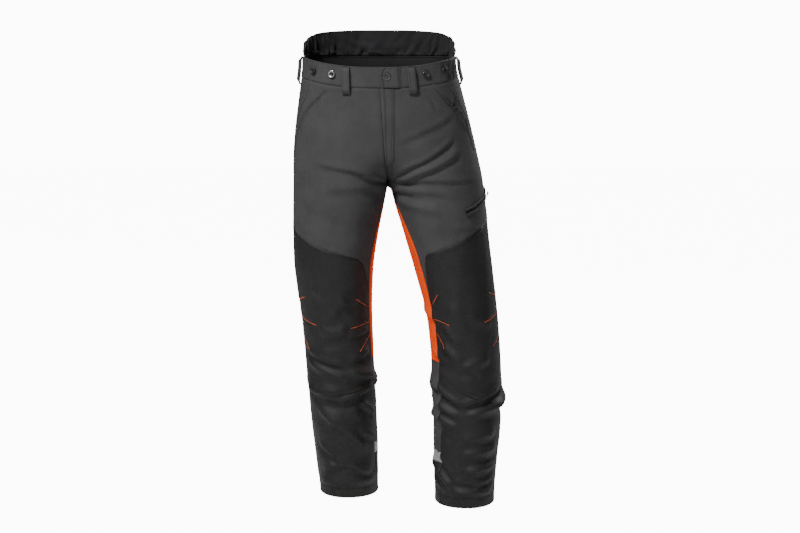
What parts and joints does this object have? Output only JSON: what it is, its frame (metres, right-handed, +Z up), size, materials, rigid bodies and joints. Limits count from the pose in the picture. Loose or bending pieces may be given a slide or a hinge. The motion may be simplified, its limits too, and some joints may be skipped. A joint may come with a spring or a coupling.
{
  "type": "chainsaw protective trousers",
  "caption": "Full-seat cut-protection trousers: softshell body, abrasion knee and shin panels, layered leg inserts, raised back guard, belt loops, brace buttons, zip fly and thigh pocket.",
  "frame": {"origin": "middle of the waist opening, level with the waistband's front top edge", "axes": "+Z up along the body, front faces -Y, +X towards the wearer's left"},
  "size_m": [0.5017, 0.2756, 1.1177],
  "materials": {
    "grey_stretch_cloth": "dense softshell stretch weave, matt",
    "black_abrasion_cloth": "coarse ripstop canvas, matt",
    "orange_stretch_cloth": "bright stretch cloth, matt",
    "lining_cloth": "thin smooth lining",
    "black_lining_cloth": "gathered black lining, light stitching",
    "cut_fibre": "loosely knitted cut-protection fibre",
    "orange_thread": "dense bar-tack stitching",
    "reflective_tape": "silver reflective tape",
    "elastic": "woven elastic",
    "gunmetal": "dark plated metal",
    "zip_metal": "satin metal",
    "zip_tape": "woven zip tape and coil",
    "moulded_black": "moulded pull"
  },
  "bodies": {
    "trousers": {"front_panel_right": "grey_stretch_cloth", "front_panel_left": "grey_stretch_cloth", "back_panel_right": "grey_stretch_cloth", "back_panel_left": "grey_stretch_cloth", "inner_thigh_panel_right": "orange_stretch_cloth", "inner_thigh_panel_left": "orange_stretch_cloth", "inner_knee_panel_right": "orange_stretch_cloth", "inner_knee_panel_left": "orange_stretch_cloth", "knee_panel_right": "black_abrasion_cloth", "knee_panel_left": "black_abrasion_cloth", "knee_back_panel_right": "grey_stretch_cloth", "knee_back_panel_left": "grey_stretch_cloth", "cut_protection_right": "cut_fibre", "cut_protection_left": "cut_fibre", "leg_lining_right": "lining_cloth", "leg_lining_left": "lining_cloth", "knee_tacks_right": "orange_thread", "knee_tacks_left": "orange_thread", "waistband_right": "grey_stretch_cloth", "waistband_left": "grey_stretch_cloth", "waistband_back": "grey_stretch_cloth", "inner_waistband": "black_lining_cloth", "side_elastics": "elastic", "back_guard": "grey_stretch_cloth", "back_guard_lining": "black_lining_cloth", "guard_elastic": "elastic", "guard_binding": "black_lining_cloth", "waist_snap_post": "gunmetal", "front_belt_loops": "grey_stretch_cloth", "side_belt_loops": "grey_stretch_cloth", "back_belt_loop": "grey_stretch_cloth", "brace_buttons": "gunmetal", "brace_button_rivets": "gunmetal", "fly_facing": "grey_stretch_cloth", "fly_shield": "grey_stretch_cloth", "fly_zip_tapes": "zip_tape", "fly_zip_teeth": "zip_metal", "hand_pocket_facings": "grey_stretch_cloth", "hand_pocket_bags": "lining_cloth", "back_pocket": "grey_stretch_cloth", "thigh_pocket_welt": "grey_stretch_cloth", "thigh_pocket_zip": "zip_tape", "thigh_pocket_bag": "lining_cloth"},
    "left_shin": {"shin_panel_left": "black_abrasion_cloth", "calf_panel_left": "grey_stretch_cloth", "reflective_strip_left": "reflective_tape", "heel_panel_left": "black_abrasion_cloth", "hem_facing_left": "black_abrasion_cloth"},
    "right_shin": {"shin_panel_right": "black_abrasion_cloth", "calf_panel_right": "grey_stretch_cloth", "reflective_strip_right": "reflective_tape", "heel_panel_right": "black_abrasion_cloth", "hem_facing_right": "black_abrasion_cloth"},
    "tab": {"waist_tab": "grey_stretch_cloth", "waist_snap_cap": "gunmetal"},
    "fly_slider": {"fly_zip_slider": "zip_metal"},
    "fly_pull": {"fly_zip_pull": "zip_metal"},
    "pocket_slider": {"thigh_pocket_slider": "zip_metal"},
    "pocket_pull": {"thigh_pocket_pull": "moulded_black"},
    "pocket_flap": {"back_pocket_flap": "grey_stretch_cloth"}
  },
  "joints": [
    {"name": "left_knee", "type": "hinge", "parent": "trousers", "child": "left_shin", "pos_m": [0.199, -0.025, -0.6], "axis": [1, 0, 0], "range_deg": [0, 90], "deforming": ["knee_panel_left", "knee_back_panel_left", "inner_knee_panel_left", "cut_protection_left", "leg_lining_left", "knee_tacks_left"]},
    {"name": "right_knee", "type": "hinge", "parent": "trousers", "child": "right_shin", "pos_m": [-0.103, 0.008, -0.6], "axis": [1, 0, 0], "range_deg": [0, 90], "deforming": ["knee_panel_right", "knee_back_panel_right", "inner_knee_panel_right", "cut_protection_right", "leg_lining_right", "knee_tacks_right"]},
    {"name": "tab_fold", "type": "hinge", "parent": "trousers", "child": "tab", "pos_m": [0.0529, -0.11996, -0.025], "axis": [-0.0843, 0.0467, 0.9953], "range_deg": [0, 110]},
    {"name": "fly_zip", "type": "slide", "parent": "trousers", "child": "fly_slider", "axis": [0.0668, 0, -0.9978], "range_m": [0, 0.11]},
    {"name": "fly_pull_swing", "type": "hinge", "parent": "fly_slider", "child": "fly_pull", "pos_m": [0.01912, -0.10914, -0.06418], "axis": [-0.9978, 0, -0.0668], "range_deg": [0, 12]},
    {"name": "pocket_zip", "type": "hinge", "parent": "trousers", "child": "pocket_slider", "pos_m": [0.13068, 0.00315, -0.32585], "axis": [-0.2015, -0.2641, 0.9432], "range_deg": [-47.4, 0]},
    {"name": "pocket_pull_swing", "type": "hinge", "parent": "pocket_slider", "child": "pocket_pull", "pos_m": [0.25861, -0.00316, -0.30029], "axis": [-0.2015, -0.2641, 0.9432], "range_deg": [0, 150]},
    {"name": "pocket_flap_lift", "type": "hinge", "parent": "trousers", "child": "pocket_flap", "pos_m": [-0.14881, 0.10069, -0.085], "axis": [0.8193, 0.5734, 0], "range_deg": [0, 110]}
  ]
}
